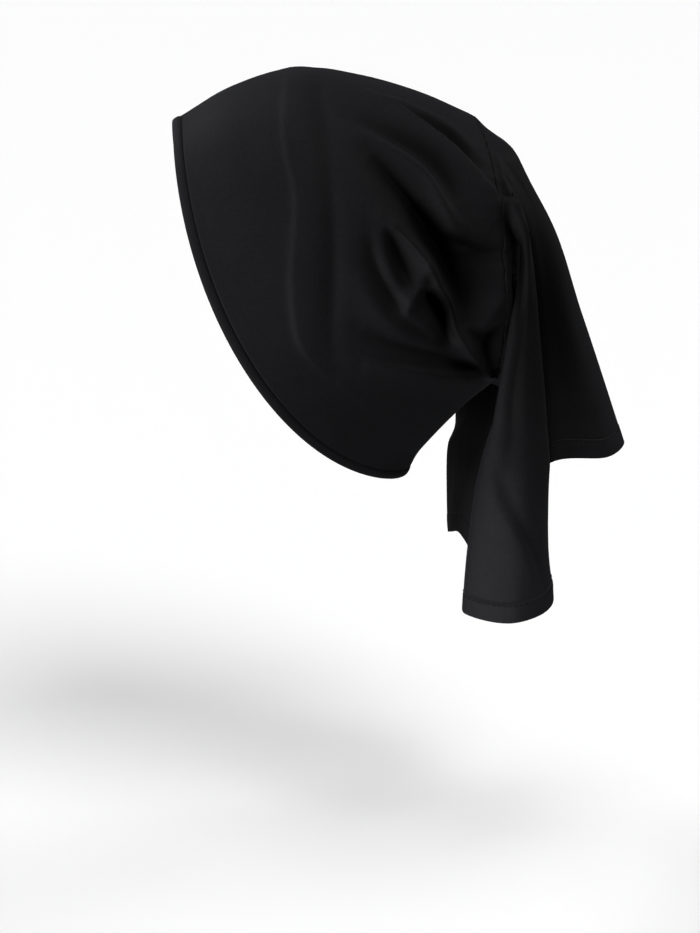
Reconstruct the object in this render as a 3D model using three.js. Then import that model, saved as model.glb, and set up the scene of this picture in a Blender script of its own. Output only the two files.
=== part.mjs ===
import * as THREE from 'three';

// Sizes of the cap, in millimetres. The origin is the inside of the crown, where the head touches it.
const capWidth = 160;
const capLength = 156;
const capHeight = 218;
const cheekReach = 33.5;
const cheekFullness = 1.9;
const cheekSag = 0.38;
const clothThickness = 1.5;
const rimWidth = 5.5;
const rimThickness = 2.8;

// Sizes of the tail, the tube of cloth that hangs from the back of the cap.
const tailWidth = 122;
const tailReach = 87;
const tailDrop = 266;
const farFlapShare = 0.78;
const hemWidth = 11;
const hemThickness = 2.6;

// Edges that meet keep this clearance.
const seamGap = 0.6;

// The share of the cap and of the tail over which their walls turn to meet at the seam, and the share of
// the cap before the seam that leads the tail's cloth out of it.
const mitreReach = 0.1;
const seamLead = 0.13;

// The least slant that the clearance at an edge allows for.
const leastLean = 0.1;

// How finely each piece is divided.
const stepsAround = 64;
const capSteps = 23;
const tailSteps = 14;
const hemSteps = 2;
const rimSides = 8;
const foldSteps = 20;
const runSteps = 40;

// How far to either side a surface's slope is measured, as a share of its length.
const slopeStep = 0.002;

const jersey = { color: 0x1c1c1f, roughness: 0.82, metalness: 0 };

// A table's rows, each with its values under the names of the columns.
function table(columns, rows) {
  return rows.map((row) => Object.fromEntries(columns.map((column, index) => [column, row[index]])));
}

// Sections of the cap from its front edge, at 0, to the tail seam, at 1. The top and the underside are
// shares of the cap's length behind the crown and of its height below it. Wide is a share of half the
// width, reach a share of the cheeks' reach, and the last two columns say how soon the sides fall away.
const capSections = table(
  ['along', 'topBack', 'topDown', 'lowBack', 'lowDown', 'wide', 'reach', 'topFall', 'lowFall'],
  [
    [0.0, -0.444, 0.117, 0.345, 1.0, 0.94, 1.0, 0.8, 1.02],
    [0.2, -0.268, 0.046, 0.372, 0.963, 0.975, 0.84, 0.8, 1.0],
    [0.4, -0.051, 0.003, 0.415, 0.926, 1.0, 0.65, 0.8, 1.0],
    [0.6, 0.166, 0.022, 0.473, 0.88, 0.985, 0.39, 0.8, 1.0],
    [0.8, 0.371, 0.064, 0.537, 0.834, 0.91, 0.13, 0.85, 1.0],
    [1.0, 0.556, 0.122, 0.613, 0.789, 0.775, -0.13, 0.9, 1.0],
  ],
);

// Lines of cloth down the tail, from the top of the back round the near side to the underside. Start is
// the share of the seam where the line leaves it. Each place is a share of half the tail's width, of its
// reach behind the seam's top and of its drop, at the neck, halfway and at the hem.
const tailLines = table(
  ['name', 'start', 'neck', 'half', 'hem'],
  [
    ['back', 0.0, [0, 0.46, 0.196], [0, 0.708, 0.411], [0, 1.0, 0.683]],
    ['back side', 0.04, [0.38, 0.425, 0.189], [0.38, 0.62, 0.415], [0.4, 0.84, 0.69]],
    ['back near', 0.08, [0.66, 0.31, 0.181], [0.5, 0.44, 0.434], [0.54, 0.47, 0.68]],
    ['flap return', 0.12, [0.77, 0.24, 0.185], [0.47, 0.28, 0.464], [0.33, 0.29, 0.78]],
    ['flap back', 0.165, [0.885, 0.258, 0.198], [0.84, 0.375, 0.505], [0.754, 0.468, 0.97]],
    ['flap tip', 0.2, [0.967, 0.225, 0.223], [0.98, 0.236, 0.532], [0.967, 0.213, 1.0]],
    ['flap front', 0.235, [0.934, 0.17, 0.268], [0.885, 0.09, 0.521], [0.738, -0.067, 0.997]],
    ['flap inside', 0.29, [0.82, 0.18, 0.35], [0.72, 0.135, 0.54], [0.557, -0.056, 0.981]],
    ['tuck', 0.37, [0.64, 0.27, 0.49], [0.5, 0.17, 0.66], [0.393, -0.011, 0.97]],
    ['under', 0.5, [0, 0.25, 0.6], [0, 0.17, 0.76], [0, 0.056, 0.955]],
  ],
);

// How far the far flap leans back at the neck, halfway and at the hem, as shares of its place outwards.
const farLeans = { neck: 0, half: -0.07, hem: 0.04 };

// Folds of the near side of the cap. Each is a line through places round the cap and along it. Rise is
// the fold's height and the last two columns its reach to the left and to the right of the line, in
// shares of the fold size. A valley has a negative rise.
const foldSize = 10;
const foldColumns = ['name', 'around', 'along', 'rise', 'left', 'right'];
const capFolds = table(foldColumns, [
  ['welt edge', [0, 0.109, 0.171, 0.237, 0.27, 0.306],
    [0.375, 0.345, 0.352, 0.253, 0.217, 0.258], 0.14, 2.2, 0.2],
  ['welt foot', [0, 0.086, 0.163, 0.22, 0.256, 0.298],
    [0.46, 0.458, 0.46, 0.425, 0.367, 0.288], -0.12, 0.5, 0.5],
  ['first lip', [0.05, 0.083, 0.11, 0.14, 0.17], [0.6, 0.76, 0.858, 0.953, 1.03], 0.4, 0.14, 1.3],
  ['first valley', [0.055, 0.081, 0.099, 0.119, 0.144], [0.66, 0.777, 0.858, 0.927, 1], -0.35, 0.45, 0.4],
  ['first ridge', [0.05, 0.072, 0.088, 0.102, 0.12], [0.62, 0.763, 0.843, 0.91, 0.98], 0.22, 0.5, 0.35],
  ['second valley', [0.092, 0.109, 0.128, 0.152, 0.185],
    [0.542, 0.64, 0.738, 0.8, 0.845], -0.45, 0.8, 0.45],
  ['second ridge', [0.105, 0.128, 0.147, 0.175, 0.21], [0.53, 0.665, 0.75, 0.797, 0.845], 0.35, 0.35, 0.35],
  ['deep valley', [0.128, 0.153, 0.18, 0.21, 0.255], [0.555, 0.647, 0.725, 0.782, 0.83], -0.95, 0.45, 0.95],
  ['long ridge', [0.195, 0.228, 0.258, 0.305, 0.36, 0.42],
    [0.61, 0.715, 0.768, 0.787, 0.87, 1], 0.6, 0.8, 0.28],
  ['left pocket', [0.2, 0.231, 0.26], [0.615, 0.63, 0.66], -0.6, 0.5, 0.45],
  ['hook ridge', [0.23, 0.256, 0.273, 0.283, 0.3], [0.735, 0.675, 0.615, 0.63, 0.7], 0.45, 0.45, 0.4],
  ['deep pocket', [0.262, 0.276, 0.297, 0.325], [0.7, 0.738, 0.755, 0.745], -0.95, 0.5, 0.5],
  ['side ridge', [0.195, 0.225, 0.244, 0.27], [0.59, 0.595, 0.608, 0.64], 0.35, 0.4, 0.45],
  ['side valley', [0.2, 0.229, 0.257, 0.285, 0.32], [0.555, 0.55, 0.573, 0.62, 0.72], -0.35, 0.4, 0.5],
  ['low band', [0.23, 0.268, 0.295, 0.317, 0.345], [0.48, 0.525, 0.59, 0.698, 0.84], 0.3, 0.6, 0.8],
  ['low valley', [0.278, 0.304, 0.328, 0.375], [0.44, 0.565, 0.685, 0.9], -0.4, 0.5, 0.5],
  ['lowest ridge', [0.3, 0.333, 0.358, 0.41], [0.4, 0.58, 0.733, 0.98], 0.4, 0.3, 1.1],
  ['sag crease', [0.21, 0.223, 0.23], [0.8, 0.907, 1.02], -0.45, 0.3, 0.9],
  ['panel valley', [0.225, 0.264, 0.31], [0.855, 0.85, 0.835], -0.45, 0.9, 0.5],
  ['panel ridge', [0.275, 0.3, 0.32], [1, 0.935, 0.86], 0.3, 0.5, 0.5],
  ['panel corner', [0.32, 0.345, 0.39], [1, 0.915, 0.96], -0.5, 0.6, 0.7],
]);

// Folds of the tail's near half, given in the same way with places round the tail and along it.
const tailFolds = table(foldColumns, [
  ['shoulder', [0, 0.06, 0.14], [0.17, 0.17, 0.13], 0.42, 1.8, 1.8],
  ['neck ridge', [0.13, 0.2, 0.26, 0.31], [0.04, 0.19, 0.36, 0.6], 0.35, 0.25, 0.9],
  ['back valley', [0.11, 0.16, 0.21, 0.25], [0.12, 0.28, 0.45, 0.7], -0.5, 0.8, 0.7],
  ['neck slit', [0.33, 0.37, 0.41, 0.435], [0.09, 0.13, 0.17, 0.24], -0.9, 0.4, 0.4],
  ['flap stripe', [0.362, 0.375, 0.387, 0.395], [0.4, 0.55, 0.66, 0.78], -0.25, 0.5, 0.5],
  ['flap crease', [0.42, 0.376, 0.35, 0.32], [0.76, 0.83, 0.875, 0.96], 0.2, 0.25, 0.9],
  ['flap waist', [0.295, 0.3, 0.305], [0.72, 0.89, 1], -0.36, 1.1, 1.1],
]);

// The far side's folds are the near side's, a little lower and shifted round the cap and along it. The
// shifts grow from nothing at the top over the first part of the way round.
const farRise = 0.8;
const farShift = -0.012;
const farSetback = 0.004;
const farOnset = 0.1;

// The shape of a fold across it and towards its ends, the least reach that the steps can carry, and the
// share of the tail over which its folds grow out of the seam.
const foldSharpness = 1.6;
const foldFade = 0.6;
const foldEnd = 0.02;
const leastReach = 4.5;
const foldStart = 0.1;

// A smooth curve through values at given places.
function through(places, values, place) {
  let index = 0;
  while (index < places.length - 2 && place > places[index + 1]) index += 1;
  const slope = (at) => {
    const before = Math.max(at - 1, 0);
    const after = Math.min(at + 1, places.length - 1);
    return (values[after] - values[before]) / (places[after] - places[before]);
  };
  const span = places[index + 1] - places[index];
  const t = (place - places[index]) / span;
  const start = (1 + 2 * t) * (1 - t) ** 2 * values[index] + t * (1 - t) ** 2 * span * slope(index);
  const end = t * t * (3 - 2 * t) * values[index + 1] + t * t * (t - 1) * span * slope(index + 1);
  return start + end;
}

// The places of the sections, and one column of their table.
const capPlaces = capSections.map((section) => section.along);

function capColumn(name, along) {
  return through(capPlaces, capSections.map((section) => section[name]), along);
}

// A point of the cap's outer face before it is folded. Around runs from the top over the near side.
function smoothCap(around, along) {
  const topY = capLength * capColumn('topBack', along);
  const topZ = clothThickness - capHeight * capColumn('topDown', along);
  const lowY = capLength * capColumn('lowBack', along);
  const lowZ = clothThickness - capHeight * capColumn('lowDown', along);
  const height = Math.hypot(lowY - topY, lowZ - topZ);
  const angle = 2 * Math.PI * around;
  const down = (1 - Math.cos(angle)) / 2;
  const side = Math.abs(Math.sin(angle));
  const topFall = capColumn('topFall', along);
  const fall = topFall + (capColumn('lowFall', along) - topFall) * down;
  const half = (capWidth / 2) * capColumn('wide', along);
  const sag = 1 + cheekSag * down ** 3;
  const forward = cheekReach * capColumn('reach', along) * side ** cheekFullness * sag;
  return new THREE.Vector3(
    Math.sign(Math.sin(angle)) * half * side ** fall,
    topY + (lowY - topY) * down + (forward * (lowZ - topZ)) / height,
    topZ + (lowZ - topZ) * down - (forward * (lowY - topY)) / height,
  );
}

// The direction straight out of a surface, from its two slopes.
function outward(surface, around, along) {
  const low = Math.max(along - slopeStep, 0);
  const high = Math.min(along + slopeStep, 1);
  const across = surface(around + slopeStep, along).sub(surface(around - slopeStep, along));
  const down = surface(around, high).sub(surface(around, low));
  return across.cross(down).normalize();
}

function farFold(fold) {
  const around = fold.around.map((place) => farShift * Math.min(place / farOnset, 1) - place);
  const setback = (place) => farSetback * Math.min(Math.abs(place) / farOnset, 1);
  const along = fold.along.map((place, index) => place + setback(around[index]));
  return { around, along, rise: fold.rise * farRise, left: fold.right, right: fold.left };
}

// The folds of both sides, each with the line of points that it follows on a surface.
function laidOut(folds, surface) {
  return [...folds, ...folds.map(farFold)].map((fold) => {
    const places = fold.around.map((unused, index) => index / (fold.around.length - 1));
    const line = Array.from({ length: foldSteps + 1 }, (unused, index) => {
      const share = index / foldSteps;
      return surface(through(places, fold.around, share), through(places, fold.along, share));
    });
    return { ...fold, line };
  });
}

// The distance from a point to a fold's line, the share of the line where it comes nearest, and whether
// the point lies to the left of it as seen from outside.
function nearestOnLine(line, point, normal) {
  const found = { distance: Infinity, share: 0, left: false };
  for (let index = 0; index < foldSteps; index += 1) {
    const run = line[index + 1].clone().sub(line[index]);
    const reach = point.clone().sub(line[index]);
    const part = THREE.MathUtils.clamp(reach.dot(run) / run.lengthSq(), 0, 1);
    reach.addScaledVector(run, -part);
    if (reach.length() < found.distance) {
      found.distance = reach.length();
      found.share = (index + part) / foldSteps;
      found.left = run.cross(reach).dot(normal) > 0;
    }
  }
  return found;
}

// How far the folds lift or sink a surface at a point. Each fades out towards its two ends.
function foldRise(folds, point, normal) {
  return folds.reduce((rise, fold) => {
    const { distance, share, left } = nearestOnLine(fold.line, point, normal);
    const fade = Math.sin(Math.PI * THREE.MathUtils.clamp(share, foldEnd, 1 - foldEnd)) ** foldFade;
    const reach = Math.max((left ? fold.left : fold.right) * foldSize, leastReach);
    return rise + fold.rise * foldSize * fade * Math.exp(-((distance / reach) ** foldSharpness));
  }, 0);
}

const capFoldLines = laidOut(capFolds, smoothCap);

// The cap's outer face with its folds.
function cap(around, along) {
  const point = smoothCap(around, along);
  const normal = outward(smoothCap, around, along);
  return point.addScaledVector(normal, foldRise(capFoldLines, point, normal));
}

// All the tail's lines, with the far side mirrored and its flap a little shorter.
const backHem = tailLines[0].hem[2];

function mirrored([out, back, down], lean) {
  const shorter = Math.min(down, backHem) + Math.max(down - backHem, 0) * farFlapShare;
  return [-out, back + lean * out, shorter];
}

function farLine(line) {
  return {
    start: 1 - line.start,
    neck: mirrored(line.neck, farLeans.neck),
    half: mirrored(line.half, farLeans.half),
    hem: mirrored(line.hem, farLeans.hem),
  };
}

const loopLines = [...tailLines, ...tailLines.slice(1, -1).map(farLine).reverse()];

// Each line's place round the tail is its share of the way round the hem, where the cloth runs furthest.
function hemPoint(line) {
  const [out, back, down] = line.hem;
  return new THREE.Vector3((out * tailWidth) / 2, back * tailReach, down * tailDrop);
}

const hemRuns = loopLines.map((line, index) => {
  const next = loopLines[(index + 1) % loopLines.length];
  return hemPoint(line).distanceTo(hemPoint(next));
});

function sum(values) {
  return values.reduce((total, value) => total + value, 0);
}

const linePlaces = hemRuns.map((unused, index) => sum(hemRuns.slice(0, index)) / sum(hemRuns));

// The same lines repeated on both sides, so that a curve through them closes.
const turns = [-1, 0, 1];
const wrappedPlaces = turns.flatMap((turn) => linePlaces.map((place) => place + turn));
const wrappedStarts = turns.flatMap((turn) => loopLines.map((line) => line.start + turn));
const wrappedLines = turns.flatMap(() => loopLines);

function seamPlace(around) {
  return through(wrappedPlaces, wrappedStarts, around);
}

function tailPlace(around) {
  return through(wrappedStarts, wrappedPlaces, around);
}

const seamTop = cap(0, 1);

function tailRing(level, around) {
  const share = (column) => through(wrappedPlaces, wrappedLines.map((line) => line[level][column]), around);
  return new THREE.Vector3(
    (tailWidth / 2) * share(0),
    seamTop.y + tailReach * share(1),
    seamTop.z - tailDrop * share(2),
  );
}

// The points that a line of the tail passes through, kept once they are known: before the seam, at it,
// at the neck, halfway and at the hem.
const ringPlaces = [-seamLead, 0, 1 / 3, 2 / 3, 1];
const knownRings = new Map();

function tailRings(around) {
  const turn = ((around % 1) + 1) % 1;
  if (!knownRings.has(turn)) {
    const start = seamPlace(turn);
    const rings = [
      cap(start, 1 - seamLead),
      cap(start, 1),
      tailRing('neck', turn),
      tailRing('half', turn),
      tailRing('hem', turn),
    ];
    knownRings.set(turn, ['x', 'y', 'z'].map((axis) => rings.map((ring) => ring[axis])));
  }
  return knownRings.get(turn);
}

// A point of the tail's outer face before it is folded. Along runs from the seam, at 0, to the hem, at 1.
function smoothTail(around, along) {
  return new THREE.Vector3(...tailRings(around).map((values) => through(ringPlaces, values, along)));
}

const tailFoldLines = laidOut(tailFolds, smoothTail);

function ease(share) {
  const held = THREE.MathUtils.clamp(share, 0, 1);
  return held * held * (3 - 2 * held);
}

// The tail's outer face with its folds.
function tail(around, along) {
  const point = smoothTail(around, along);
  const normal = outward(smoothTail, around, along);
  const rise = foldRise(tailFoldLines, point, normal) * ease(along / foldStart);
  return point.addScaledVector(normal, rise);
}

// A closed body from rings of points, each ring with as many points as steps around.
function solid(rings, closed) {
  const positions = [];
  rings.forEach((ring) => ring.forEach((point) => positions.push(point.x, point.y, point.z)));
  const triangles = [];
  const count = rings[0].length;
  const last = closed ? rings.length : rings.length - 1;
  for (let row = 0; row < last; row += 1) {
    const next = (row + 1) % rings.length;
    for (let column = 0; column < count; column += 1) {
      const side = (column + 1) % count;
      const a = row * count + column;
      const b = row * count + side;
      const c = next * count + side;
      const d = next * count + column;
      triangles.push(a, b, c, a, c, d);
    }
  }
  const geometry = new THREE.BufferGeometry();
  geometry.setAttribute('position', new THREE.Float32BufferAttribute(positions, 3));
  geometry.setIndex(triangles);
  geometry.computeVertexNormals();
  return geometry;
}

// Near the seam the cap's wall and the tail's lean towards the same mitre, so that their edges meet.
function mitred(own, capAround, tailAround, distance) {
  const mitre = outward(cap, capAround, 1).add(outward(smoothTail, tailAround, 0)).normalize();
  return own.lerp(mitre, ease(1 - distance / mitreReach)).normalize();
}

function capNormal(around, along) {
  return mitred(outward(cap, around, along), around, tailPlace(around), 1 - along);
}

function tailNormal(around, along) {
  return mitred(outward(tail, around, along), seamPlace(around), around, along);
}

// A wall of cloth on a surface: its outer face, then its inner face back to the start. From and to give
// the share along where the wall starts and ends at each place round it.
function wall(surface, normal, from, to, steps, proud, depth) {
  const places = Array.from({ length: stepsAround }, (unused, index) => {
    const around = index / stepsAround;
    return { around, from: from(around), to: to(around) };
  });
  const ring = (step, offset) => places.map((place) => {
    const along = place.from + ((place.to - place.from) * step) / steps;
    return surface(place.around, along).addScaledVector(normal(place.around, along), offset);
  });
  const outer = Array.from({ length: steps + 1 }, (unused, step) => ring(step, proud));
  const inner = Array.from({ length: steps + 1 }, (unused, step) => ring(steps - step, -depth));
  return solid([...outer, ...inner], true);
}

// The share of the tail's length at which a line of it has run a distance from the seam or the hem.
function tailShare(around, distance, fromHem) {
  const place = (index) => tail(around, fromHem ? 1 - index / runSteps : index / runSteps);
  let run = 0;
  let index = 0;
  let step = 0;
  while (index < runSteps && run + step < distance) {
    run += step;
    index += 1;
    step = place(index).distanceTo(place(index - 1));
  }
  const share = (index - 1 + (distance - run) / step) / runSteps;
  return fromHem ? 1 - share : share;
}

// The clearance as measured down a line of the tail. It is longer where an edge runs aslant to the line,
// and its square leaves room for the flat faces that stand for a bent edge there.
function slantGap(edge, around) {
  const step = 1 / stepsAround;
  const along = edge(around);
  const low = Math.max(along - step, 0);
  const down = tail(around, low + step).sub(tail(around, low));
  const after = tail(around + step, edge(around + step));
  const before = tail(around - step, edge(around - step));
  const across = after.sub(before);
  const lean = across.normalize().cross(down.normalize()).length();
  return seamGap / Math.max(lean * lean, leastLean);
}

function frontEdge() {
  return 0;
}

function openEnd() {
  return 1;
}

function tailStart(around) {
  return tailShare(around, slantGap(frontEdge, around), false);
}

function hemStart(around) {
  return tailShare(around, hemWidth, true);
}

function tailEnd(around) {
  return tailShare(around, hemWidth + slantGap(hemStart, around), true);
}

// The rolled front edge: a flattened roll that follows the front of the cap.
function roll() {
  const rings = Array.from({ length: stepsAround }, (unused, index) => {
    const around = index / stepsAround;
    const normal = outward(cap, around, 0);
    const across = cap(around + slopeStep, 0).sub(cap(around - slopeStep, 0)).normalize();
    const forward = across.clone().cross(normal).normalize();
    const centre = cap(around, 0)
      .addScaledVector(normal, -clothThickness / 2)
      .addScaledVector(forward, seamGap + rimWidth / 2);
    return Array.from({ length: rimSides }, (also, side) => {
      const angle = (2 * Math.PI * (side + 0.5)) / rimSides;
      const reach = 1 / Math.cos(Math.PI / rimSides);
      return centre.clone()
        .addScaledVector(forward, (reach * rimWidth * Math.cos(angle)) / 2)
        .addScaledVector(normal, (reach * rimThickness * Math.sin(angle)) / 2);
    });
  });
  return solid(rings.map((ring) => ring.reverse()), true);
}

function piece(name, geometry) {
  const mesh = new THREE.Mesh(geometry, new THREE.MeshStandardMaterial(jersey));
  mesh.name = name;
  return mesh;
}

const hemProud = (hemThickness - clothThickness) / 2;

const underscarfCap = new THREE.Group();
underscarfCap.add(
  piece('cap_body', wall(cap, capNormal, frontEdge, openEnd, capSteps, 0, clothThickness)),
  piece('front_rim', roll()),
  piece('tail', wall(tail, tailNormal, tailStart, tailEnd, tailSteps, 0, clothThickness)),
  piece('tail_hem', wall(tail, tailNormal, hemStart, openEnd, hemSteps, hemProud, clothThickness + hemProud)),
);

export default underscarfCap;
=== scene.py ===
import math
from collections import namedtuple

import bpy
import numpy as np
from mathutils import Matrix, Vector


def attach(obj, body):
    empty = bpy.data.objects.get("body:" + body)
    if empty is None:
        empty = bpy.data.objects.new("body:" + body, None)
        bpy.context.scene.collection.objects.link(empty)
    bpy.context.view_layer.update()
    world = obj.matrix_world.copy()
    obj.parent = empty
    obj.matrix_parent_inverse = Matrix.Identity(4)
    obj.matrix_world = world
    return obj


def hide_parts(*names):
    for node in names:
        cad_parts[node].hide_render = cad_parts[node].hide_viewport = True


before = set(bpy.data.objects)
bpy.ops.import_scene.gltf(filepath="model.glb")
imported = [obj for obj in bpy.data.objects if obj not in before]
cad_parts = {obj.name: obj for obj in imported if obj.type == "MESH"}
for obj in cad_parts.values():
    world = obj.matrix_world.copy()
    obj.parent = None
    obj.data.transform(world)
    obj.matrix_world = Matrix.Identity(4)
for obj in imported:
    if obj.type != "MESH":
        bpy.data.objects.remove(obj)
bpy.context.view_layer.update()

MM = 0.001

# Sizes of the cap, the same as the frame's, in millimetres. The cheeks reach forward between the top and
# the underside, fuller towards the sides and sagging a little below.
CAP_WIDTH = 160.0
CAP_LENGTH = 156.0
CAP_HEIGHT = 218.0
CHEEK_REACH = 33.5
CHEEK_FULLNESS = 1.9
CHEEK_SAG = 0.38
CLOTH = 1.5
RIM_WIDTH = 5.5
RIM_THICKNESS = 2.8
RIM_ROUNDNESS = 0.8

# Sizes of the tail, and of its hem, which laps over the tail's cloth and stands a little proud of it from a
# share of its own width on. The far flap hangs lower than the back by a share of what the near one does, and
# leans back or forward as it goes down. The gap is between the cap's wall and its rim or the tail.
TAIL_WIDTH = 122.0
TAIL_REACH = 87.0
TAIL_DROP = 266.0
FAR_FLAP_SHARE = 0.78
FAR_LEANS = (0.0, -0.07, 0.04)
HEM_WIDTH = 11.0
HEM_THICKNESS = 2.6
HEM_LAP = 1.0
HEM_PROUD = 0.25
HEM_ONSET = 0.3
SEAM_GAP = 0.12

# Shares of the cap's or the tail's length: where the two walls turn to meet at the seam, where the tail's
# folds have grown to their height, and how far before the seam the tail's curve sets out
MITRE_REACH = 0.1
FOLD_START = 0.1
SEAM_LEAD = 0.13

# Folds: the size in millimetres that their shares are of, how they fade towards their ends and fall off to
# their sides, and how dark the painted shade along them may get
FOLD_SIZE = 10.0
FOLD_END = 0.02
FOLD_FADE = 0.6
FOLD_SHARPNESS = 1.6
DEEPEST_PAINTED_SHADE = 0.95

# The seam's groove, and the puckers that its stitches draw, some groups of them higher than others
GROOVE_REACH = 2.2
GROOVE_DEPTH = 0.3
# Painted shade that darkens the groove, for the shadow in it
GROOVE_PAINTED_SHADE = 0.2
PUCKERS = 53
PUCKER_GROUPS = 13
PUCKER_PHASE = 1
PUCKER_RISE = 0.4
PUCKER_EVENNESS = 0.6
PUCKER_REACH = 6.0

# Stitches, each a short flattened body of thread with rings at shares of its length, and their girths. Each
# ring faces a place a little further along the row.
STITCH_LENGTH = 1.8
STITCH_WIDTH = 0.5
STITCH_PITCH = 3.0
STITCH_FLATNESS = 0.6
STITCH_SIDES = 6
STITCH_RINGS = ((0, 0.15), (0.2, 0.8), (0.5, 1.0), (0.8, 0.8), (1.0, 0.15))
STITCH_AHEAD = 0.5

# How finely the cloth is divided, then the shares of its length over which its slopes are taken
CAP_AROUND = 360
CAP_ROWS = 128
TAIL_AROUND = 400
TAIL_ROWS = 104
HEM_ROWS = 12
RIM_SIDES = 20
FOLD_STEPS = 20
LENGTH_STEPS = 200
SLOPE_STEP = 0.002
HEM_LINE_STEP = 0.004

# Sections of the cap: place from the front edge to the seam, the top's and the underside's shares of
# the length behind the crown and of the height below it, half width, reach of the cheeks, and falls
CAP_COLUMNS = (
    "along", "top_back", "top_down", "low_back", "low_down", "wide", "reach", "top_fall", "low_fall",
)
CAP_SECTIONS = (
    (0.0, -0.444, 0.117, 0.345, 1.0, 0.94, 1.0, 0.8, 1.02),
    (0.2, -0.268, 0.046, 0.372, 0.963, 0.975, 0.84, 0.8, 1.0),
    (0.4, -0.051, 0.003, 0.415, 0.926, 1.0, 0.65, 0.8, 1.0),
    (0.6, 0.166, 0.022, 0.473, 0.88, 0.985, 0.39, 0.8, 1.0),
    (0.8, 0.371, 0.064, 0.537, 0.834, 0.91, 0.13, 0.85, 1.0),
    (1.0, 0.556, 0.122, 0.613, 0.789, 0.775, -0.13, 0.9, 1.0),
)

# Folds of the near side of the cap, each a line through places round it and along it. Rise is the fold's
# height and the next two its reach to the left and to the right of the line, in shares of the fold size.
# Shade is painted shade: how far the cloth's colour is darkened along the line, from 0 to 1, for the shadow
# in a hollow.
Fold = namedtuple("Fold", ("name", "around", "along", "rise", "left", "right", "shade"))
FOLDS = (
    ("welt edge", (0, 0.109, 0.171, 0.237, 0.27, 0.306),
     (0.375, 0.345, 0.352, 0.253, 0.217, 0.258), 0.14, 2.2, 0.2, 0),
    ("welt foot", (0, 0.086, 0.163, 0.22, 0.256, 0.298),
     (0.46, 0.458, 0.46, 0.425, 0.367, 0.288), -0.2, 0.5, 0.6, 0.15),
    ("first lip", (0.06, 0.081, 0.103, 0.121, 0.142, 0.167, 0.178),
     (0.673, 0.747, 0.82, 0.883, 0.943, 1.0, 1.035), 0.5, 0.12, 1.3, 0),
    ("first valley", (0.07, 0.089, 0.099, 0.111, 0.122, 0.138),
     (0.72, 0.81, 0.857, 0.893, 0.923, 0.953), -0.4, 0.5, 0.3, 0.6),
    ("first ridge", (0.055, 0.06, 0.076, 0.089, 0.11), (0.64, 0.7, 0.833, 0.897, 0.943), 0.22, 0.4, 0.3, 0),
    ("second valley", (0.092, 0.109, 0.128, 0.152, 0.185),
     (0.542, 0.64, 0.738, 0.8, 0.845), -0.45, 0.8, 0.45, 0.15),
    ("second ridge", (0.105, 0.128, 0.147, 0.175, 0.21),
     (0.53, 0.665, 0.75, 0.797, 0.845), 0.35, 0.35, 0.35, 0),
    ("deep valley", (0.131, 0.151, 0.178, 0.201, 0.224, 0.25, 0.275, 0.3),
     (0.583, 0.643, 0.71, 0.757, 0.787, 0.81, 0.822, 0.825), -0.85, 0.55, 0.7, 0.9),
    # The deep shade row is mostly painted shade beside the deep valley, sinking the cloth only a little
    ("deep shade", (0.178, 0.2, 0.218, 0.24, 0.27),
     (0.695, 0.725, 0.75, 0.772, 0.79), -0.25, 0.9, 0.8, 0.6),
    ("long ridge", (0.19, 0.206, 0.231, 0.257, 0.283, 0.311, 0.356, 0.418),
     (0.6, 0.647, 0.713, 0.747, 0.777, 0.787, 0.863, 0.987), 0.6, 0.4, 0.28, 0),
    ("left pocket", (0.2, 0.231, 0.26), (0.615, 0.63, 0.66), -0.6, 0.7, 0.6, 0.55),
    ("hook ridge", (0.23, 0.256, 0.273, 0.283, 0.3), (0.735, 0.675, 0.615, 0.63, 0.7), 0.45, 0.45, 0.4, 0),
    ("deep pocket", (0.262, 0.276, 0.297, 0.325), (0.7, 0.738, 0.755, 0.745), -0.9, 0.5, 0.5, 0.85),
    ("thin arc", (0.255, 0.261, 0.274, 0.295), (0.68, 0.738, 0.77, 0.787), 0.3, 0.16, 0.16, 0),
    ("side ridge", (0.195, 0.225, 0.244, 0.27), (0.59, 0.595, 0.608, 0.64), 0.25, 0.4, 0.45, 0),
    ("side valley", (0.2, 0.229, 0.257, 0.285, 0.32),
     (0.555, 0.55, 0.573, 0.62, 0.72), -0.35, 0.4, 0.5, 0.3),
    ("low band", (0.23, 0.268, 0.295, 0.317, 0.345), (0.48, 0.525, 0.59, 0.698, 0.84), 0.3, 0.6, 0.8, 0),
    ("low valley", (0.278, 0.304, 0.328, 0.375), (0.44, 0.565, 0.685, 0.9), -0.4, 0.5, 0.5, 0.25),
    ("lowest ridge", (0.3, 0.319, 0.34, 0.362, 0.393),
     (0.4, 0.507, 0.633, 0.767, 0.923), 0.4, 0.15, 1.1, 0),
    ("sag crease", (0.21, 0.223, 0.23), (0.8, 0.907, 1.02), -0.5, 0.25, 1.1, 0.2),
    ("panel valley", (0.225, 0.264, 0.31), (0.875, 0.875, 0.85), -0.55, 1.5, 0.9, 0.3),
    ("panel ridge", (0.275, 0.3, 0.32), (1.0, 0.935, 0.86), 0.3, 0.5, 0.5, 0),
    ("panel corner", (0.32, 0.345, 0.39), (1.0, 0.915, 0.96), -0.5, 0.6, 0.7, 0.3),
)

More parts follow.
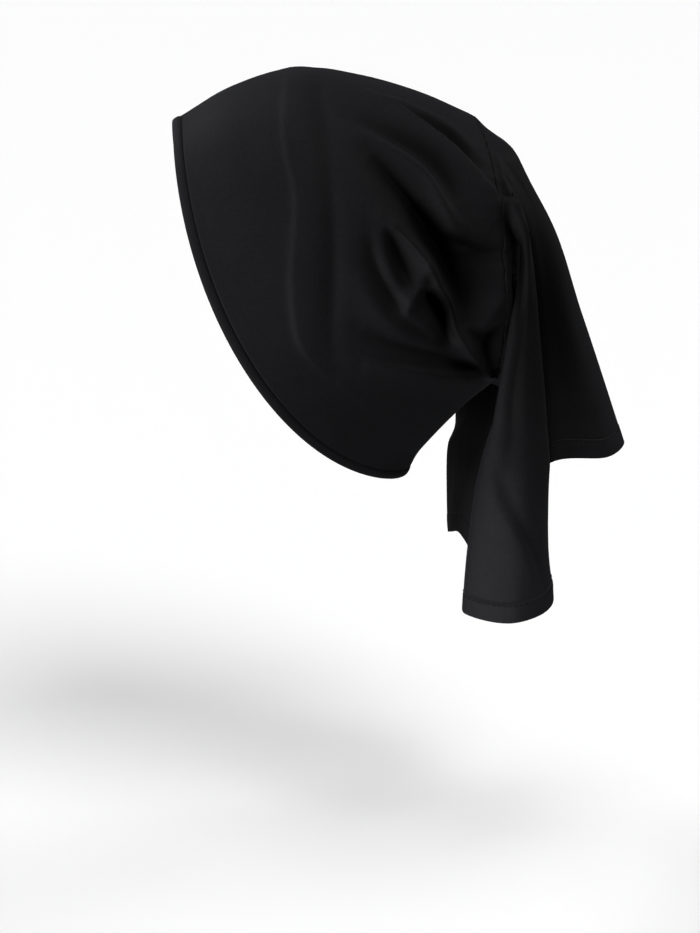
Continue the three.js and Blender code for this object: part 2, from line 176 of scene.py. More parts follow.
# Folds of the tail's near half, given in the same way with places round the tail and along it
TAIL_FOLDS = (
    ("shoulder", (0, 0.06, 0.14), (0.12, 0.12, 0.1), 0.42, 1.8, 1.8, 0),
    ("neck ridge", (0.12, 0.189, 0.274, 0.335, 0.35, 0.348),
     (0.02, 0.05, 0.083, 0.17, 0.34, 0.48), 0.35, 0.25, 0.7, 0),
    # The back hollow and the neck slit carry painted shade as well as sinking the cloth
    ("back hollow", (0.1, 0.107, 0.107, 0.1), (0.12, 0.35, 0.6, 0.88), -0.3, 1.8, 2.0, 0.65),
    ("neck slit", (0.32, 0.34, 0.37, 0.402, 0.392, 0.384, 0.383),
     (-0.02, 0.02, 0.07, 0.2, 0.37, 0.45, 0.54), -0.4, 0.45, 0.45, 0.95),
    ("flap stripe", (0.351, 0.375, 0.384, 0.38, 0.385),
     (0.48, 0.58, 0.67, 0.74, 0.79), -0.3, 1.3, 0.5, 0.4),
    ("flap crease", (0.408, 0.385, 0.366, 0.35, 0.333), (0.78, 0.83, 0.863, 0.903, 0.96), 0.2, 0.2, 1.0, 0),
    ("crease foot", (0.395, 0.375, 0.357, 0.34, 0.325),
     (0.78, 0.82, 0.86, 0.91, 0.97), -0.1, 0.35, 0.3, 0.1),
    ("flap front", (0.42, 0.415, 0.41), (0.72, 0.86, 1.02), 0.5, 3.5, 1.4, 0),
    ("flap waist", (0.295, 0.3, 0.305), (0.8, 0.9, 0.98), -0.3, 1.1, 1.1, 0),
)

# Painted shade on the tail's far half alone, given as folds that barely rise or sink: they darken most of the
# far flap
FAR_TAIL_FOLDS = (
    ("far front", (0.585, 0.588, 0.59, 0.58), (0.4, 0.65, 0.85, 1.15), 0.1, 3.0, 3.0, 0.95),
    ("far shade", (0.65, 0.655, 0.66, 0.66), (0.3, 0.6, 0.85, 1.2), -0.02, 3.5, 3.5, 0.9),
)

# The far side's folds are the near side's, a little lower and shifted round the cloth and along it. The
# shift grows from none at the top to its full size at a place a little way round.
FAR_RISE = 0.8
FAR_SHIFT = -0.012
FAR_SETBACK = 0.004
FAR_ONSET = 0.1

# Lines of cloth down the tail's near half: share of the seam where each starts, then shares of half the
# tail's width, of its reach and of its drop at the neck, halfway and at the hem
TailLine = namedtuple("TailLine", ("name", "start", "neck", "halfway", "hem"))
TAIL_LINES = (
    ("back", 0.0, (0, 0.46, 0.196), (0, 0.708, 0.411), (0, 1.0, 0.683)),
    ("back side", 0.04, (0.38, 0.425, 0.189), (0.38, 0.62, 0.415), (0.4, 0.84, 0.692)),
    ("back near", 0.08, (0.66, 0.31, 0.181), (0.5, 0.44, 0.434), (0.54, 0.47, 0.69)),
    ("flap return", 0.12, (0.77, 0.24, 0.185), (0.47, 0.28, 0.464), (0.33, 0.29, 0.78)),
    ("flap back", 0.165, (0.885, 0.258, 0.198), (0.84, 0.375, 0.505), (0.754, 0.468, 0.97)),
    ("flap tip", 0.2, (0.967, 0.225, 0.223), (0.98, 0.236, 0.532), (0.967, 0.213, 1.0)),
    ("flap front", 0.235, (0.934, 0.17, 0.268), (0.885, 0.09, 0.521), (0.738, -0.067, 0.997)),
    ("flap inside", 0.29, (0.82, 0.18, 0.35), (0.72, 0.135, 0.54), (0.557, -0.056, 0.981)),
    ("tuck", 0.37, (0.64, 0.27, 0.49), (0.5, 0.17, 0.66), (0.393, -0.011, 0.97)),
    ("under", 0.5, (0, 0.25, 0.6), (0, 0.17, 0.76), (0, 0.056, 0.955)),
)


# Curves and surfaces
def through(places, values, at):
    """A smooth curve through values at given places."""
    places = np.asarray(places, float)
    values = np.asarray(values, float)
    at = np.asarray(at, float)
    last = len(places) - 1
    order = np.arange(last + 1)
    before = np.maximum(order - 1, 0)
    after = np.minimum(order + 1, last)
    widen = (...,) + (None,) * (values.ndim - 1)
    slope = (values[after] - values[before]) / (places[after] - places[before])[widen]
    index = np.clip(np.searchsorted(places, at) - 1, 0, last - 1)
    span = places[index + 1] - places[index]
    t = ((at - places[index]) / span)[widen]
    span = span[widen]
    start = (1 + 2 * t) * (1 - t) ** 2 * values[index] + t * (1 - t) ** 2 * span * slope[index]
    end = t * t * (3 - 2 * t) * values[index + 1] + t * t * (t - 1) * span * slope[index + 1]
    return start + end


CAP_PLACES = [row[0] for row in CAP_SECTIONS]


def cap_column(name, along):
    column = CAP_COLUMNS.index(name)
    return through(CAP_PLACES, [row[column] for row in CAP_SECTIONS], along)


def smooth_cap(around, along):
    """Points of the cap's outer face before it is folded, in millimetres."""
    around, along = np.broadcast_arrays(np.asarray(around, float), np.asarray(along, float))
    top_y = CAP_LENGTH * cap_column("top_back", along)
    top_z = CLOTH - CAP_HEIGHT * cap_column("top_down", along)
    low_y = CAP_LENGTH * cap_column("low_back", along)
    low_z = CLOTH - CAP_HEIGHT * cap_column("low_down", along)
    height = np.hypot(low_y - top_y, low_z - top_z)
    turn = 2 * np.pi * around
    down = (1 - np.cos(turn)) / 2
    side = np.abs(np.sin(turn))
    top_fall = cap_column("top_fall", along)
    fall = top_fall + (cap_column("low_fall", along) - top_fall) * down
    half = CAP_WIDTH / 2 * cap_column("wide", along)
    forward = CHEEK_REACH * cap_column("reach", along) * side**CHEEK_FULLNESS * (1 + CHEEK_SAG * down**3)
    x = np.sign(np.sin(turn)) * half * side**fall
    y = top_y + (low_y - top_y) * down + forward * (low_z - top_z) / height
    z = top_z + (low_z - top_z) * down - forward * (low_y - top_y) / height
    return np.stack([x, y, z], -1)


def unit(vectors):
    return vectors / np.maximum(np.linalg.norm(vectors, axis=-1, keepdims=True), 1e-12)


def outward(surface, around, along):
    """The direction straight out of a surface, from its two slopes."""
    low = np.maximum(along - SLOPE_STEP, 0)
    high = np.minimum(along + SLOPE_STEP, 1)
    across = surface(around + SLOPE_STEP, along) - surface(around - SLOPE_STEP, along)
    down = surface(around, high) - surface(around, low)
    return unit(np.cross(across, down))


def far_fold(fold):
    """The same fold on the far side, where its left and its right change places."""
    around = tuple(FAR_SHIFT * min(place / FAR_ONSET, 1) - place for place in fold.around)
    setback = [FAR_SETBACK * min(abs(place) / FAR_ONSET, 1) for place in around]
    along = tuple(place + back for place, back in zip(fold.along, setback))
    return Fold("far " + fold.name, around, along, fold.rise * FAR_RISE, fold.right, fold.left, fold.shade)


def laid_out(rows, surface, far_rows=()):
    """The folds of both sides, each with the line of points that it follows on a surface."""
    near = [Fold(*row) for row in rows]
    far = [far_fold(fold) for fold in near] + [Fold(*row) for row in far_rows]
    steps = np.linspace(0, 1, FOLD_STEPS + 1)
    laid = []
    for fold in near + far:
        places = np.linspace(0, 1, len(fold.around))
        line = surface(through(places, fold.around, steps), through(places, fold.along, steps))
        reaches = (fold.left * FOLD_SIZE, fold.right * FOLD_SIZE)
        laid.append((line, *reaches, fold.rise * FOLD_SIZE, fold.shade))
    return laid


def nearest_on_line(line, points, normals):
    """Distance from points to a line of segments, the share of the line where it comes nearest, and
    whether the point lies to the left of it as seen from outside."""
    nearest = np.full(points.shape[:-1], np.inf)
    share = np.zeros(points.shape[:-1])
    left = np.zeros(points.shape[:-1], bool)
    for index in range(len(line) - 1):
        run = line[index + 1] - line[index]
        reach = points - line[index]
        part = np.clip(reach @ run / (run @ run), 0, 1)
        offset = reach - part[..., None] * run
        distance = np.linalg.norm(offset, axis=-1)
        closer = distance < nearest
        nearest = np.where(closer, distance, nearest)
        share = np.where(closer, (index + part) / (len(line) - 1), share)
        left = np.where(closer, (np.cross(run, offset) * normals).sum(-1) > 0, left)
    return nearest, share, left


def fold_rise(points, normals, laid):
    """How far the folds lift or sink a surface at its points, and how far their painted shade darkens it
    there.
    """
    rise = np.zeros(points.shape[:-1])
    shade = np.zeros(points.shape[:-1])
    for line, left_reach, right_reach, height, dark in laid:
        distance, share, left = nearest_on_line(line, points, normals)
        reach = np.where(left, left_reach, right_reach)
        fade = np.sin(np.pi * np.clip(share, FOLD_END, 1 - FOLD_END)) ** FOLD_FADE
        strength = fade * np.exp(-((distance / reach) ** FOLD_SHARPNESS))
        rise += height * strength
        shade += dark * strength
    return rise, np.clip(shade, 0, DEEPEST_PAINTED_SHADE)


CAP_LAID = laid_out(FOLDS, smooth_cap)


def folded_cap(around, along):
    """Points of the cap's outer face with its folds, and how dark the painted shade makes each."""
    points = smooth_cap(around, along)
    normals = outward(smooth_cap, around, along)
    rise, shade = fold_rise(points, normals, CAP_LAID)
    return points + normals * rise[..., None], shade


def cap(around, along):
    return folded_cap(around, along)[0]


NEAR_LINES = [TailLine(*row) for row in TAIL_LINES]
BACK_HEM_DROP = NEAR_LINES[0].hem[2]


def far_line(line):
    """A line of the tail's far half: the near one's, mirrored, with the far flap's own drop and lean."""

    def mirrored(place, lean):
        out, back, down = place
        below = max(down - BACK_HEM_DROP, 0)
        return (-out, back + lean * abs(out), min(down, BACK_HEM_DROP) + below * FAR_FLAP_SHARE)

    places = (line.neck, line.halfway, line.hem)
    return TailLine(line.name, 1 - line.start, *map(mirrored, places, FAR_LEANS))


LOOP_LINES = NEAR_LINES + [far_line(line) for line in NEAR_LINES[-2:0:-1]]


def line_places():
    """Each line's place round the tail is its share of the way round the hem."""
    hem = np.array([line.hem for line in LOOP_LINES]) * [TAIL_WIDTH / 2, TAIL_REACH, TAIL_DROP]
    runs = np.linalg.norm(hem - np.roll(hem, 1, axis=0), axis=1)
    return (np.cumsum(runs) - runs[0]) / runs.sum()


LINE_PLACES = line_places()
TURNS = (-1, 0, 1)
WRAPPED_PLACES = np.concatenate([LINE_PLACES + turn for turn in TURNS])
WRAPPED_STARTS = np.concatenate([[line.start + turn for line in LOOP_LINES] for turn in TURNS])
SEAM_TOP = cap(0.0, 1.0)


def seam_place(around):
    """The place round the seam that a place round the tail hangs from."""
    return through(WRAPPED_PLACES, WRAPPED_STARTS, around)


def tail_place(around):
    """The place round the tail that hangs from a place round the seam."""
    return through(WRAPPED_STARTS, WRAPPED_PLACES, around)


def tail_ring(shares, around):
    """Points of a ring round the tail, from the shares at which its lines pass it."""
    place = through(WRAPPED_PLACES, np.tile(shares, (len(TURNS), 1)), around)
    size = np.array([TAIL_WIDTH / 2, TAIL_REACH, -TAIL_DROP])
    return place * size + [0, SEAM_TOP[1], SEAM_TOP[2]]


def tail_rings(around):
    """The rings that the tail runs through, two of them on the cap, so that it leaves the seam smoothly."""
    start = seam_place(around)
    return np.stack(
        [
            cap(start, np.full_like(start, 1 - SEAM_LEAD)),
            cap(start, np.ones_like(start)),
            tail_ring([line.neck for line in LOOP_LINES], around),
            tail_ring([line.halfway for line in LOOP_LINES], around),
            tail_ring([line.hem for line in LOOP_LINES], around),
        ]
    )


# The rings' places along the tail: the neck and the ring halfway lie at its thirds
RING_PLACES = np.array([-SEAM_LEAD, 0, 1 / 3, 2 / 3, 1])


def smooth_tail(around, along):
    """Points of the tail's outer face before it is folded, for a row of places round it and one or more
    rows of places along it, from the seam, at 0, to the hem, at 1."""
    around = np.atleast_1d(around)
    along = np.asarray(along, float) * np.ones(len(around))
    rings = tail_rings(around)
    slope = np.empty_like(rings)
    last = len(RING_PLACES) - 1
    for row in range(last + 1):
        low, high = max(row - 1, 0), min(row + 1, last)
        slope[row] = (rings[high] - rings[low]) / (RING_PLACES[high] - RING_PLACES[low])
    index = np.clip(np.searchsorted(RING_PLACES, along) - 1, 0, last - 1)
    span = RING_PLACES[index + 1] - RING_PLACES[index]
    t = ((along - RING_PLACES[index]) / span)[..., None]
    span = span[..., None]
    column = np.arange(len(around))
    start = (1 + 2 * t) * (1 - t) ** 2 * rings[index, column] + t * (1 - t) ** 2 * span * slope[index, column]
    end = t * t * (3 - 2 * t) * rings[index + 1, column] + t * t * (t - 1) * span * slope[index + 1, column]
    return start + end


TAIL_LAID = laid_out(TAIL_FOLDS, smooth_tail, FAR_TAIL_FOLDS)


def ease(share):
    share = np.clip(share, 0, 1)
    return share * share * (3 - 2 * share)


def folded_tail(around, along):
    """Points of the tail's outer face, whose folds grow out of the seam, and how dark the painted shade makes
    each.
    """
    points = smooth_tail(around, along)
    normals = outward(smooth_tail, around, along)
    rise, shade = fold_rise(points, normals, TAIL_LAID)
    grown = ease(along / FOLD_START)
    return points + normals * (rise * grown)[..., None], shade


def tail(around, along):
    return folded_tail(around, along)[0]


def seam_work(around, distance):
    """How far the seam's stitches sink the cloth and pucker it at a distance from the seam, and how far
    painted shade darkens its groove."""
    groove = np.exp(-((distance / GROOVE_REACH) ** 2))
    turn = 2 * np.pi * around
    groups = np.sin(PUCKER_GROUPS * turn + PUCKER_PHASE)
    puckers = np.sin(PUCKERS * turn) * (PUCKER_EVENNESS + (1 - PUCKER_EVENNESS) * groups)
    rise = PUCKER_RISE * puckers * np.exp(-distance / PUCKER_REACH) - GROOVE_DEPTH * groove
    return rise, GROOVE_PAINTED_SHADE * groove


def grid_normals(grid):
    """Directions out of a grid of points, rows along and columns closed around."""
    across = np.roll(grid, -1, axis=1) - np.roll(grid, 1, axis=1)
    down = np.gradient(grid, axis=0)
    return unit(np.cross(across, down))


# Meshes
def closed_faces(rows, columns):
    """Faces between rows of points, closed both along the rows and from the last row to the first."""
    row, column = np.meshgrid(np.arange(rows), np.arange(columns), indexing="ij")
    side = (column + 1) % columns
    below = (row + 1) % rows
    corners = [row * columns + column, row * columns + side, below * columns + side, below * columns + column]
    return np.stack(corners, -1).reshape(-1, 4)


def mesh_piece(name, points, faces, uvs, material, shade=None):
    mesh = bpy.data.meshes.new(name)
    mesh.from_pydata((points * MM).tolist(), [], [tuple(map(int, face)) for face in faces])
    mesh.update()
    layer = mesh.uv_layers.new(name="cloth")
    loops = np.empty(len(mesh.loops), dtype=np.int32)
    mesh.loops.foreach_get("vertex_index", loops)
    layer.data.foreach_set("uv", uvs[loops].astype(np.float32).ravel())
    # Painted shade, kept on each point for the cloth's colour to be darkened by
    painted_shade_layer = mesh.attributes.new("shade", "FLOAT", "POINT")
    if shade is not None:
        painted_shade_layer.data.foreach_set("value", shade.astype(np.float32).ravel())
    mesh.polygons.foreach_set("use_smooth", np.ones(len(mesh.polygons), dtype=bool))
    mesh.materials.append(material)
    piece = bpy.data.objects.new(name, mesh)
    bpy.context.scene.collection.objects.link(piece)
    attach(piece, "root")
    return piece


def wall_piece(name, grid, normals, proud, depth, uvs, material, shade=None):
    """A closed wall of cloth: its outer face, then its inner face back to the start."""
    if shade is not None:
        shade = np.concatenate([shade, shade[::-1]])
    rows, columns = grid.shape[:2]
    outer = grid + normals * proud
    inner = (grid - normals * depth)[::-1]
    points = np.concatenate([outer, inner]).reshape(-1, 3)
    all_uvs = np.concatenate([uvs, uvs[::-1]]).reshape(-1, 2)
    return mesh_piece(name, points, closed_faces(2 * rows, columns), all_uvs, material, shade)


def cloth_uvs(grid):
    """How far each point lies round the cloth and along it, in metres."""
    round_run = np.linalg.norm(np.roll(grid, -1, axis=1) - grid, axis=-1).mean(axis=0)
    across = np.concatenate([[0], np.cumsum(round_run)[:-1]])
    along = np.concatenate(
        [np.zeros((1, grid.shape[1])), np.cumsum(np.linalg.norm(np.diff(grid, axis=0), axis=-1), axis=0)]
    )
    return np.stack([np.broadcast_to(across, along.shape), along], -1) * MM


# Material: the knit's pitch in metres, from rib to rib and from loop to loop, how its ribs, loops and fuzz
# share the height of the bump, and how patches, grain and knit share the colour
ROUGHNESS = 0.62
SPECULAR_LEVEL = 0.1
SHEEN_WEIGHT = 0.05
SHEEN_ROUGHNESS = 0.45
SHEEN_TINT = (0.80, 0.82, 0.88, 1)
WALE = 0.0008
COURSE = 0.0006
LOOP_SLANT = 1.6
RIB_HEIGHT = 0.55
LOOP_HEIGHT = 0.2
FUZZ_HEIGHT = 0.7
FUZZ_SCALE = 1500
FUZZ_DETAIL = 3
BUMP_STRENGTH = 0.35
BUMP_DISTANCE = 0.00012
PATCH_SCALE = 28
PATCH_DETAIL = 4
PATCH_SHARE = 0.4
GRAIN_SCALE = 700
GRAIN_DETAIL = 2
GRAIN_SHARE = 0.5
KNIT_SHARE = 0.3
DARK_PLACE = 0.3
DARK_SHARE = 0.7
LIGHT_PLACE = 0.95
LIGHT_SHARE = 1.35
CLOTH_COLOUR = (0.0178, 0.0178, 0.02)
# The thread's colour is partly its own black and partly painted shade, darker than the cloth for the pits the
# stitches sit in
THREAD_AND_PIT_SHADE_COLOUR = (0.006, 0.006, 0.007)


def node(tree, kind, **settings):
    made = tree.nodes.new(kind)
    for key, value in settings.items():
        setattr(made, key, value)
    return made


def maths(tree, operation, first, second=None):
    """The output of a sum of one or two values, each a number or another node's output."""
    made = node(tree, "ShaderNodeMath", operation=operation)
    for socket, value in zip(made.inputs, (first, second)):
        if value is None:
            continue
        if isinstance(value, (int, float)):
            socket.default_value = value
        else:
            tree.links.new(value, socket)
    return made.outputs[0]


def noise(tree, place, scale, detail):
    made = node(tree, "ShaderNodeTexNoise")
    made.inputs["Scale"].default_value = scale
    made.inputs["Detail"].default_value = detail
    tree.links.new(place, made.inputs["Vector"])
    return made.outputs["Fac"]


def knit_height(tree, place):
    """Height of the knit: ribs that run round the cloth, slanting loops along each, and fuzz."""
    cloth = node(tree, "ShaderNodeUVMap", uv_map="cloth")
    split = node(tree, "ShaderNodeSeparateXYZ")
    tree.links.new(cloth.outputs["UV"], split.inputs[0])
    ribs = maths(tree, "MULTIPLY", split.outputs["Y"], math.pi / WALE)
    ribs = maths(tree, "ABSOLUTE", maths(tree, "SINE", ribs))
    loops = maths(tree, "MULTIPLY", split.outputs["X"], 2 * math.pi / COURSE)
    loops = maths(tree, "SINE", maths(tree, "ADD", loops, maths(tree, "MULTIPLY", ribs, LOOP_SLANT)))
    fuzz = noise(tree, place, FUZZ_SCALE, FUZZ_DETAIL)
    ribs = maths(tree, "MULTIPLY", ribs, RIB_HEIGHT)
    knit = maths(tree, "ADD", ribs, maths(tree, "MULTIPLY", loops, LOOP_HEIGHT))
    return maths(tree, "ADD", knit, maths(tree, "MULTIPLY", fuzz, FUZZ_HEIGHT))


def cloth_colour(tree, place, height, colour):
    """A mottled colour, darkened by the painted shade that the cloth carries along its folds, its seam's
    groove and its far flap.
    """
    patch = noise(tree, place, PATCH_SCALE, PATCH_DETAIL)
    grain = noise(tree, place, GRAIN_SCALE, GRAIN_DETAIL)
    patch = maths(tree, "MULTIPLY", patch, PATCH_SHARE)
    mottle = maths(tree, "ADD", patch, maths(tree, "MULTIPLY", grain, GRAIN_SHARE))
    blend = maths(tree, "ADD", mottle, maths(tree, "MULTIPLY", height, KNIT_SHARE))
    ramp = node(tree, "ShaderNodeValToRGB")
    dark, light = ramp.color_ramp.elements
    dark.position = DARK_PLACE
    dark.color = tuple(DARK_SHARE * part for part in colour) + (1,)
    light.position = LIGHT_PLACE
    light.color = tuple(LIGHT_SHARE * part for part in colour) + (1,)
    tree.links.new(blend, ramp.inputs["Fac"])
    # Painted shade: the colour is multiplied by one less the shade that each point carries
    depth = node(tree, "ShaderNodeAttribute", attribute_name="shade")
    shaded = node(tree, "ShaderNodeVectorMath", operation="MULTIPLY")
    tree.links.new(ramp.outputs["Color"], shaded.inputs[0])
    tree.links.new(maths(tree, "SUBTRACT", 1, depth.outputs["Fac"]), shaded.inputs[1])
    return shaded.outputs["Vector"]


def jersey(name, colour):
    """Fine-knit cloth, or thread, of one colour."""
    material = bpy.data.materials.new(name)
    material.use_nodes = True
    tree = material.node_tree
    shader = tree.nodes["Principled BSDF"]
    shader.inputs["Roughness"].default_value = ROUGHNESS
    shader.inputs["Specular IOR Level"].default_value = SPECULAR_LEVEL
    shader.inputs["Sheen Weight"].default_value = SHEEN_WEIGHT
    shader.inputs["Sheen Roughness"].default_value = SHEEN_ROUGHNESS
    shader.inputs["Sheen Tint"].default_value = SHEEN_TINT
    place = node(tree, "ShaderNodeTexCoord").outputs["Object"]
    height = knit_height(tree, place)
    bump = node(tree, "ShaderNodeBump")
    bump.inputs["Strength"].default_value = BUMP_STRENGTH
    bump.inputs["Distance"].default_value = BUMP_DISTANCE
    tree.links.new(height, bump.inputs["Height"])
    tree.links.new(bump.outputs["Normal"], shader.inputs["Normal"])
    tree.links.new(cloth_colour(tree, place, height, colour), shader.inputs["Base Color"])
    return material


JERSEY = jersey("jersey", CLOTH_COLOUR)
THREAD = jersey("thread", THREAD_AND_PIT_SHADE_COLOUR)


# Pieces
def build_cap():
    """The cap's wall, which turns at its back to meet the tail's."""
    around = np.arange(CAP_AROUND) / CAP_AROUND
    along = np.linspace(0, 1, CAP_ROWS + 1)
    around, along = np.meshgrid(around, along)
    grid, shade = folded_cap(around, along)
    normals = grid_normals(grid)
    mitre = seam_mitre(around[0], tail_place(around[0]))
    turned = ease(1 - (1 - along) / MITRE_REACH)[..., None]
    normals = unit(normals * (1 - turned) + mitre * turned)
    rise, dark = seam_work(around, (1 - along) * CAP_LENGTH)
    grid = grid + normals * rise[..., None]
    # Painted shade of the folds or of the seam's groove, whichever is the darker
    shade = np.maximum(shade, dark)
    piece = wall_piece("cap_cloth", grid, normals, 0, CLOTH, cloth_uvs(grid), JERSEY, shade)
    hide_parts("cap_body")
    return piece


def seam_mitre(cap_around, tail_around):
    """The direction that the cap's wall and the tail's share at the seam."""
    own = outward(cap, cap_around, np.ones_like(cap_around))
    columns = np.concatenate([tail_around - SLOPE_STEP, tail_around, tail_around + SLOPE_STEP])
    points = smooth_tail(columns, np.array([[0.0], [SLOPE_STEP]]))
    before, here, after = np.split(points[0], 3)
    down = np.split(points[1], 3)[1] - here
    other = unit(np.cross(after - before, down))
    return unit(own + other)


def tail_share(around, distance, from_hem):
    """Share of the tail's length at which each line has run a distance from the seam or the hem."""
    along = np.linspace(0, 1, LENGTH_STEPS + 1)
    points = smooth_tail(around, along[:, None])
    if from_hem:
        points = points[::-1]
    runs = np.linalg.norm(np.diff(points, axis=0), axis=-1)
    total = np.concatenate([np.zeros((1, len(around))), np.cumsum(runs, axis=0)])
    share = np.array([np.interp(distance, total[:, column], along) for column in range(len(around))])
    return 1 - share if from_hem else share


def build_tail():
    """The tail's wall, from the seam to where the hem begins."""
    around = np.arange(TAIL_AROUND) / TAIL_AROUND
    start = tail_share(around, SEAM_GAP, False)
    end = tail_share(around, HEM_WIDTH - HEM_LAP, True)
    rows = np.linspace(0, 1, TAIL_ROWS + 1)[:, None]
    along = start + (end - start) * rows
    grid, shade = folded_tail(around, along)
    normals = grid_normals(grid)
    turned = ease(1 - along / MITRE_REACH)[..., None]
    normals = unit(normals * (1 - turned) + seam_mitre(seam_place(around), around) * turned)
    rise, dark = seam_work(seam_place(around), along * TAIL_DROP)
    grid = grid + normals * rise[..., None]
    # Painted shade of the folds or of the seam's groove, whichever is the darker
    shade = np.maximum(shade, dark)
    piece = wall_piece("tail_cloth", grid, normals, 0, CLOTH, cloth_uvs(grid), JERSEY, shade)
    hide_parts("tail")
    return piece


def build_hem():
    """The turned hem: a band that stands a little proud of the tail's cloth, and thicker than it."""
    around = np.arange(TAIL_AROUND) / TAIL_AROUND
    start = tail_share(around, HEM_WIDTH, True)
    rows = np.linspace(0, 1, HEM_ROWS + 1)[:, None]
    grid, shade = folded_tail(around, start + (1 - start) * rows)
    proud = HEM_PROUD * ease(rows / HEM_ONSET)[..., None]
    depth = (HEM_THICKNESS + CLOTH) / 2
    piece = wall_piece("hem_band", grid, grid_normals(grid), proud, depth, cloth_uvs(grid), JERSEY, shade)
    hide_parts("tail_hem")
    return piece


def stitch_faces(number):
    """Faces of one stitch of a row: its sides from ring to ring, then its two ends."""
    first = number * len(STITCH_RINGS) * STITCH_SIDES
    last = first + (len(STITCH_RINGS) - 1) * STITCH_SIDES
    faces = []
    for ring in range(first, last, STITCH_SIDES):
        for side in range(STITCH_SIDES):
            low = ring + side
            high = ring + (side + 1) % STITCH_SIDES
            faces.append((low, high, high + STITCH_SIDES, low + STITCH_SIDES))
    faces.append(tuple(first + side for side in reversed(range(STITCH_SIDES))))
    faces.append(tuple(last + side for side in range(STITCH_SIDES)))
    return faces


def stitch_row(name, line, normals, lift):
    """A row of stitches along a closed line of points, lifted a little above the cloth."""
    runs = np.linalg.norm(np.roll(line, -1, axis=0) - line, axis=1)
    ends = np.concatenate([[0], np.cumsum(runs)])
    count = int(ends[-1] / STITCH_PITCH)
    starts = np.arange(count) * ends[-1] / count
    closed = np.concatenate([line, line[:1]])
    closed_normals = np.concatenate([normals, normals[:1]])

    def at(distance, values):
        return np.stack([np.interp(distance, ends, values[:, axis]) for axis in range(3)], -1)

    points = []
    for share, girth in STITCH_RINGS:
        place = starts + share * STITCH_LENGTH
        centre = at(place, closed)
        up = unit(at(place, closed_normals))
        ahead = unit(at(place + STITCH_AHEAD, closed) - centre)
        across = unit(np.cross(up, ahead))
        for side in range(STITCH_SIDES):
            angle = 2 * np.pi * side / STITCH_SIDES
            offset = across * math.cos(angle) + up * math.sin(angle) * STITCH_FLATNESS
            points.append(centre + up * lift + offset * girth * STITCH_WIDTH / 2)
    points = np.stack(points, 1).reshape(-1, 3)
    faces = [face for number in range(count) for face in stitch_faces(number)]
    return mesh_piece(name, points, faces, points[:, :2] * MM, THREAD)


def build_hem_stitches():
    """The row that holds the hem, along its upper edge."""
    around = np.arange(TAIL_AROUND) / TAIL_AROUND
    level = tail_share(around, HEM_WIDTH - HEM_LAP, True)
    rows = np.array([-HEM_LINE_STEP, 0, HEM_LINE_STEP])[:, None]
    grid = tail(around, level + rows)
    stitch_row("hem_stitches", grid[1], grid_normals(grid)[1], HEM_PROUD)


def build_seam_stitches():
    """The row that sews the tail to the cap, down in the seam's groove."""
    around = np.arange(CAP_AROUND) / CAP_AROUND
    line = cap(around, np.ones_like(around))
    normals = seam_mitre(around, tail_place(around))
    rise = seam_work(around, np.zeros_like(around))[0]
    stitch_row("seam_stitches", line + normals * rise[:, None], normals, 0)


def build_rim():
    """The rolled edge round the face and the neck, a closed roll in front of the cap's wall."""
    around = np.arange(CAP_AROUND) / CAP_AROUND
    front = np.zeros_like(around)
    edge = cap(around, front)
    normal = outward(cap, around, front)
    across = unit(np.roll(edge, -1, axis=0) - np.roll(edge, 1, axis=0))
    forward = unit(np.cross(across, normal))
    centre = edge - normal * CLOTH / 2 + forward * (SEAM_GAP + RIM_WIDTH / 2)
    angle = 2 * np.pi * (np.arange(RIM_SIDES) + 0.5) / RIM_SIDES
    out = np.sign(np.cos(angle)) * np.abs(np.cos(angle)) ** RIM_ROUNDNESS
    lift = np.sign(np.sin(angle)) * np.abs(np.sin(angle)) ** RIM_ROUNDNESS
    grid = (
        centre[None]
        + forward[None] * (out * RIM_WIDTH / 2)[:, None, None]
        + normal[None] * (lift * RIM_THICKNESS / 2)[:, None, None]
    )
    faces = closed_faces(RIM_SIDES, CAP_AROUND)
    piece = mesh_piece("rim_roll", grid.reshape(-1, 3), faces, cloth_uvs(grid).reshape(-1, 2), JERSEY)
    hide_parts("front_rim")
    return piece


# Stage: the camera's way round from the wearer's face towards the near side and its height, in degrees
CAMERA_WAY = 85
CAMERA_HEIGHT = 16
CAMERA_TARGET = (0, 0.0201, -0.2181)
CAMERA_DISTANCE = 1.22384
LENS = 85
SENSOR_WIDTH = 36
GAMMA = 0.8

# The floor, a wide sheet of pale matt paper, in metres
FLOOR_LEVEL = -0.43
FLOOR_HALF = 12.0
PAPER_COLOUR = (0.93, 0.93, 0.93, 1)
PAPER_ROUGHNESS = 0.9

# Soft lights: the way round and the height that each shines from, in degrees as above, then its strength
# and how broad it is
WORLD_STRENGTH = 0.03
LIGHTS = (
    ("face side", 15, 15, 1.15, 25),
    ("front reflector", 35, -25, 2.9, 30),
    ("over the back", 125, 50, 1.4, 30),
    ("top", 85, 89, 0.6, 30),
    ("far side", -35, 40, 1.4, 30),
    ("behind", 195, 30, 0.9, 30),
)

# A low panel of light near the hanging flap: its power in watts, its width in metres, its spread in degrees,
# where it stands and what it is turned to
LOW_PANEL_POWER = 0.08
LOW_PANEL_SIZE = 0.2
LOW_PANEL_SPREAD = 30
LOW_PANEL_PLACE = (0.38, 0.0, -0.36)
LOW_PANEL_TARGET = (0.045, 0.09, -0.32)


def seen_from(way, height):
    """The direction towards a viewer who stands round from the face by a way and up by a height."""
    turn, rise = math.radians(way), math.radians(height)
    return Vector((math.sin(turn) * math.cos(rise), -math.cos(turn) * math.cos(rise), math.sin(rise)))


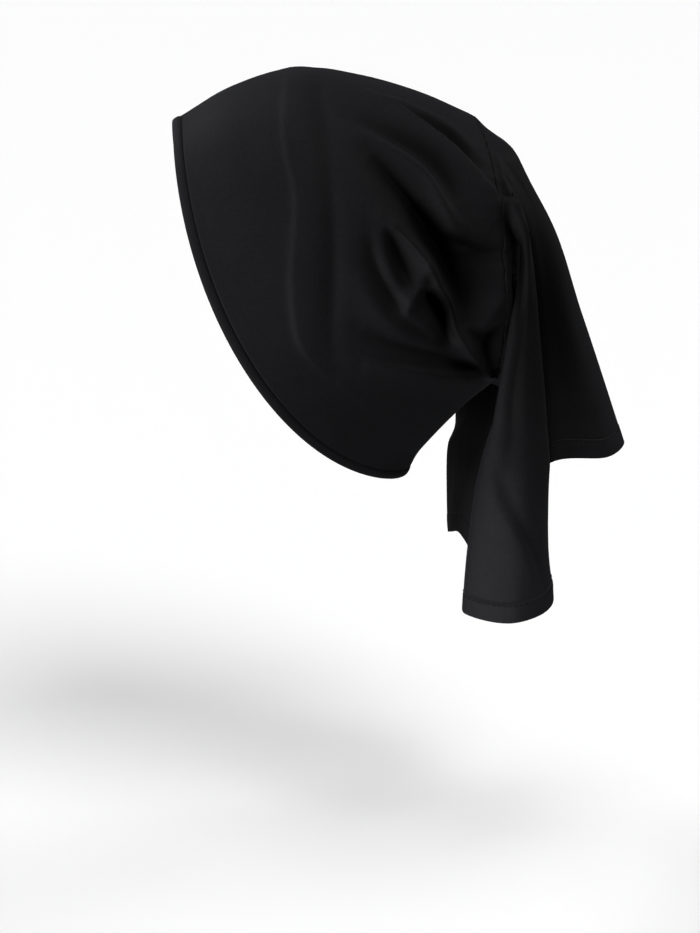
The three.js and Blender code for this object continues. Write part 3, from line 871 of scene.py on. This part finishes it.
def build_floor():
    mesh = bpy.data.meshes.new("floor")
    square = ((-1, -1), (1, -1), (1, 1), (-1, 1))
    corners = [(x * FLOOR_HALF, y * FLOOR_HALF, FLOOR_LEVEL) for x, y in square]
    mesh.from_pydata(corners, [], [(0, 1, 2, 3)])
    floor = bpy.data.objects.new("floor", mesh)
    bpy.context.scene.collection.objects.link(floor)
    paper = bpy.data.materials.new("paper")
    paper.use_nodes = True
    shader = paper.node_tree.nodes["Principled BSDF"]
    shader.inputs["Base Color"].default_value = PAPER_COLOUR
    shader.inputs["Roughness"].default_value = PAPER_ROUGHNESS
    mesh.materials.append(paper)
    # The floor throws no light or reflection back on the cloth, and doesn't shade it from the low lights.
    floor.visible_diffuse = False
    floor.visible_glossy = False
    floor.visible_shadow = False


def build_lights():
    scene = bpy.context.scene
    world = bpy.data.worlds.new("studio")
    world.use_nodes = True
    background = world.node_tree.nodes["Background"]
    background.inputs["Color"].default_value = (1, 1, 1, 1)
    background.inputs["Strength"].default_value = WORLD_STRENGTH
    scene.world = world

    for name, way, height, strength, breadth in LIGHTS:
        light = bpy.data.lights.new(name, "SUN")
        light.energy = strength
        light.angle = math.radians(breadth)
        lamp = bpy.data.objects.new(name, light)
        lamp.rotation_euler = seen_from(way, height).to_track_quat("Z", "Y").to_euler()
        scene.collection.objects.link(lamp)

    light = bpy.data.lights.new("low panel", "AREA")
    light.energy = LOW_PANEL_POWER
    light.size = LOW_PANEL_SIZE
    light.spread = math.radians(LOW_PANEL_SPREAD)
    panel = bpy.data.objects.new("low panel", light)
    back = Vector(LOW_PANEL_PLACE) - Vector(LOW_PANEL_TARGET)
    panel.location = LOW_PANEL_PLACE
    panel.rotation_euler = back.to_track_quat("Z", "Y").to_euler()
    panel.visible_camera = False
    scene.collection.objects.link(panel)


def build_camera():
    scene = bpy.context.scene
    back = seen_from(CAMERA_WAY, CAMERA_HEIGHT)
    lens = bpy.data.cameras.new("camera")
    lens.lens = LENS
    lens.sensor_width = SENSOR_WIDTH
    camera = bpy.data.objects.new("camera", lens)
    camera.location = Vector(CAMERA_TARGET) + back * CAMERA_DISTANCE
    camera.rotation_euler = back.to_track_quat("Z", "Y").to_euler()
    scene.collection.objects.link(camera)
    scene.camera = camera
    scene.view_settings.view_transform = "Standard"
    scene.view_settings.gamma = GAMMA


build_camera()
build_floor()
build_lights()
cap_piece = build_cap()
tail_piece = build_tail()
hem_piece = build_hem()
rim_piece = build_rim()
build_hem_stitches()
build_seam_stitches()

bpy.context.view_layer.update()
